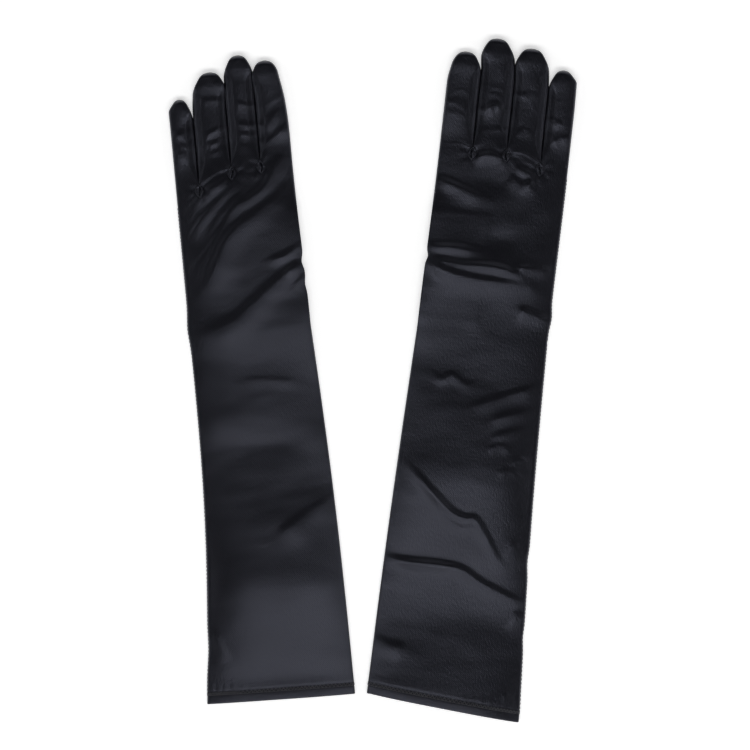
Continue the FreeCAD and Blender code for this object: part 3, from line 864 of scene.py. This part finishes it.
MATERIALS = {
    "back_satin": satin("back_satin", (0.0032, 0.0031, 0.0043), 0.345, 0.0),
    "palm_satin": satin("palm_satin", (0.0032, 0.0031, 0.0042), 0.35, 0.0),
    "fourchette_satin": satin("fourchette_satin", (0.0030, 0.0029, 0.0040), 0.355, 0.8),
    "hem_satin": satin("hem_satin", (0.0032, 0.0031, 0.0042), 0.36, 0.0),
    "thread": thread("thread", (0.018, 0.018, 0.026)),
}


THREAD_SIDES = 6


def tube(path, radius, closed=False):
    """Points and quads of a round thread along a path."""
    if closed:
        tangent = np.roll(path, -1, 0) - np.roll(path, 1, 0)
    else:
        tangent = np.gradient(path, axis=0)
    tangent = unit(tangent)
    guide = np.where(np.abs(tangent[:, 2:3]) > 0.9, [[1.0, 0.0, 0.0]], [[0.0, 0.0, 1.0]])
    side = unit(np.cross(tangent, guide))
    up = np.cross(side, tangent)
    turn = np.linspace(0, 2 * math.pi, THREAD_SIDES, endpoint=False)[None, :, None]
    ring = (side[:, None] * np.cos(turn) + up[:, None] * np.sin(turn)) * radius
    points = path[:, None] + ring
    numbers = wrapped(np.arange(len(path) * THREAD_SIDES).reshape(-1, THREAD_SIDES))
    if closed:
        numbers = np.concatenate([numbers, numbers[:1]])
    return points.reshape(-1, 3), quad_corners(numbers).reshape(-1, 4)


def thread_piece(glove, name, parts, body):
    """Joins threads, given as (points, quads) in glove coordinates, into one piece."""
    points, quads, offset = [], [], 0
    for part_points, part_quads in parts:
        points.append(part_points)
        quads.append(part_quads + offset)
        offset += len(part_points)
    points = glove.row(np.concatenate(points))
    quads = np.concatenate(quads)
    if glove.mirror < 0:
        quads = quads[:, ::-1]
    mesh = add_mesh(f"{glove.side}_{name}_thread", points, quads.tolist(), MATERIALS["thread"])
    mesh.update()
    piece = add_object(mesh.name, mesh)
    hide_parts(f"{glove.side}_{name}")
    attach(glove, piece, body)


def ring_point(ring, level, v_at, share_around):
    """A point on the sleeve's surface at a distance along it and a share of the way round."""
    row = np.clip(np.interp(v_at, level, np.arange(len(level))), 0, len(level) - 1.001)
    low, part = int(row), row - int(row)
    loop = mix(ring[low], ring[low + 1], part)
    loop = np.concatenate([loop, loop[:1]])
    place = share_around * (len(loop) - 1)
    first = min(int(place), len(loop) - 2)
    return mix(loop[first], loop[first + 1], place - first)


def make_hem_stitching(glove, body):
    """A zigzag of thread over the hem's raw edge, and one straight row, all the way round the cuff."""
    ring, level = body["ring"], body["level"]
    stitches, inner, outer, raised = 176, -0.3, 1.9, 0.12
    path = []
    for number in range(stitches):
        v_at = glove.hem_end + (outer if number % 2 else inner)
        share = number / stitches
        point = ring_point(ring, level, v_at, share)
        opposite = ring_point(ring, level, v_at, (share + 0.5) % 1.0)
        outward = 1.0 if point[2] > opposite[2] else -1.0
        path.append(point + np.array([0.0, 0.0, raised * outward]))
    zigzag = [mix(a, b, t) for a, b in zip(path, path[1:] + path[:1]) for t in (0.0, 0.25, 0.5, 0.75)]
    around = 420
    row = [ring_point(ring, level, glove.hem_end - 0.5, k / around) for k in range(around)]
    threads = [tube(np.array(zigzag), 0.3, closed=True), tube(np.array(row), 0.22, closed=True)]
    thread_piece(glove, "hem_stitching", threads, "sleeve")


def make_side_seams(glove, body):
    """Short stitches along the little finger's edge, where back and palm are joined."""
    ring, level = body["ring"], body["level"]
    pitch, stitch, radius = 3.1, 2.3, 0.26
    for name, start, end, bends in (
            ("sleeve_side_seam", glove.hem_end + 3, glove.wrist_line, "sleeve"),
            ("hand_side_seam", glove.wrist_line, glove.base["little"] - 2, "hand")):
        parts = []
        for at in np.arange(start, end - 2.4, pitch):
            path = np.array([ring_point(ring, level, v, 0.0) for v in np.linspace(at, at + stitch, 5)])
            path[:, 0] -= 0.12 - np.array([0.28, 0.05, 0.0, 0.05, 0.28])
            parts.append(tube(path, radius))
        thread_piece(glove, name, parts, bends)


def make_quirks(glove):
    """A small puffed diamond of cloth in each crotch, creased down its middle and rolled at its seam."""
    half_width, half_length, rings, spokes = 3.9, 6.0, 12, 40
    corner = 1.35       # 1 is a sharp diamond and 2 an oval
    for number, (little_side, index_side) in enumerate(zip(FINGERS, FINGERS[1:])):
        u0, v0 = glove.crotches[number]
        out = np.linspace(0, 1, rings + 1)[:, None]
        angle = np.linspace(0, 2 * math.pi, spokes + 1)[None, :]
        cosine, sine = np.cos(angle), np.sin(angle)
        reach = (np.abs(cosine) ** corner + np.abs(sine) ** corner) ** (-1 / corner)
        across, along = out * reach * cosine, out * reach * sine
        tilt = 0.35 * math.sin(2.3 * number + (1.0 if glove.mirror < 0 else 0.0))
        u = u0 + half_width * across + tilt * along
        v = v0 - 3.2 + half_length * along
        ground = glove.top(u, np.minimum(v, v0))
        puff = 1.5 * (1 - out ** 2.4) + 0.5 * hill(out, 0.8, 0.12) - 0.9 * smooth((out - 0.88) / 0.12)
        crease = 1.6 * hill(across, 0.10 + 0.14 * np.sin(3 * along + number), 0.16)
        crease = crease * smooth((1 - out) / 0.5)
        pinch = 0.5 * hill(along, 0.35, 0.12) * smooth((1 - out) / 0.4)
        upper = np.stack([u, v, ground + 0.5 + puff - crease - pinch], -1)
        lower = np.stack([u, v, ground - LAYER_GAP], -1)
        local = Cloth()
        shells = []
        for layer in (upper, lower):
            middle = local.add(layer[:1, :1])[0, 0]
            numbers = wrapped(local.add(layer[1:, :-1]))
            shells.append(np.concatenate([np.full((1, spokes + 1), middle), numbers]))
        label = f"{index_side}_{little_side}_quirk"
        local.sew(shells[0][::-1], cloth_grid(upper[::-1]), np.full((rings, spokes), label))
        local.sew(shells[1], cloth_grid(lower), np.full((rings, spokes), label))
        rim = np.stack([shells[1][-1], shells[0][-1]])
        local.sew(rim, cloth_grid(np.stack([lower[-1], upper[-1]])), np.full((1, spokes), label))
        finish_cloth(glove, local)


def finish_cloth(glove, cloth):
    """Cuts the mesh along its seams into the frame's pieces, gives each its material and hides the frame's own
    part.
    """
    points = np.concatenate(cloth.points)
    quads, labels = np.concatenate(cloth.quads), np.concatenate(cloth.labels)
    corners = np.concatenate(cloth.cloth)
    row_points = glove.row(points)
    if glove.mirror < 0:
        quads, corners = quads[:, ::-1], corners[:, ::-1]
    normals = vertex_normals(row_points, quads)
    for label in sorted(set(labels)):
        chosen = labels == label
        node = f"{glove.side}_{label}"
        piece = make_piece(f"{node}_cloth", row_points, quads[chosen], corners[chosen], normals,
                           MATERIALS[SLOTS[node]])
        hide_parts(node)
        attach(glove, piece, body_of(glove.side, label))


def make_glove(side):
    glove = Glove(side)
    cloth = Cloth()
    body = build_body(glove, cloth)
    add_crotches(cloth, body)
    for number in range(len(FINGERS)):
        build_finger(glove, cloth, body, number)
    build_thumb(glove, cloth)
    finish_cloth(glove, cloth)
    make_quirks(glove)
    make_hem_stitching(glove, body)
    make_side_seams(glove, body)


for glove_side in ("left", "right"):
    make_glove(glove_side)


# The table, the lights and the camera.

def make_floor():
    bpy.ops.mesh.primitive_plane_add(size=8.0, location=(0.0, 0.0, 0.0))
    floor = bpy.context.object
    floor.name = "floor"
    material, _, shader = new_material("floor")
    set_inputs(shader, {"Base Color": (0.9, 0.9, 0.9, 1.0), "Roughness": 0.9, "Specular IOR Level": 0.1})
    set_inputs(shader, {"Emission Color": (1.0, 1.0, 1.0, 1.0), "Emission Strength": 0.5})
    floor.data.materials.append(material)


def area_light(name, place, size, power):
    """A rectangular light that points at the middle of the table."""
    data = bpy.data.lights.new(name, "AREA")
    data.shape = "RECTANGLE"
    data.size, data.size_y = size
    data.energy = power
    light = add_object(name, data)
    light.location = place
    direction = Vector((0.0, 0.0, 0.0)) - Vector(place)
    light.rotation_euler = direction.to_track_quat("-Z", "Y").to_euler()


make_floor()
area_light("key", (0.0, -2.1, 3.6), (4.0, 1.1), 91.0)
area_light("back", (0.2, 3.2, 1.6), (2.6, 0.7), 5.0)
area_light("left_side", (-3.2, 0.1, 1.5), (0.7, 2.2), 11.0)
area_light("right_side", (3.2, 0.1, 1.5), (0.7, 2.2), 11.0)


def make_world():
    """A light tent: white at the horizon and dark overhead, so the satin stays black between its sheens."""
    world = bpy.data.worlds.new("studio")
    world.use_nodes = True
    tree = world.node_tree
    direction = add_node(tree, "TexCoord", {})
    parts = add_node(tree, "SeparateXYZ", {"Vector": direction.outputs["Generated"]})
    ramp = add_node(tree, "ValToRGB", {"Fac": parts.outputs["Z"]})
    stops = ramp.color_ramp.elements
    stops[0].position, stops[0].color = 0.0, (0.95, 0.95, 0.95, 1.0)
    stops[1].position, stops[1].color = 0.6, (0.035, 0.035, 0.035, 1.0)
    stops.new(0.28).color = (0.6, 0.6, 0.6, 1.0)
    set_inputs(tree.nodes["Background"], {"Color": ramp.outputs["Color"]})
    bpy.context.scene.world = world


make_world()

VIEW_WIDTH = 0.600
CAMERA_HEIGHT = 2.4
SENSOR = 36.0
camera_data = bpy.data.cameras.new("camera")
camera_data.sensor_width = SENSOR
camera_data.lens = SENSOR * CAMERA_HEIGHT / VIEW_WIDTH
camera = add_object("camera", camera_data)
camera.location = (0.0015, 0.0013, CAMERA_HEIGHT)
camera.rotation_euler = (0.0, 0.0, 0.0)
bpy.context.scene.camera = camera
bpy.context.scene.view_settings.view_transform = "Standard"
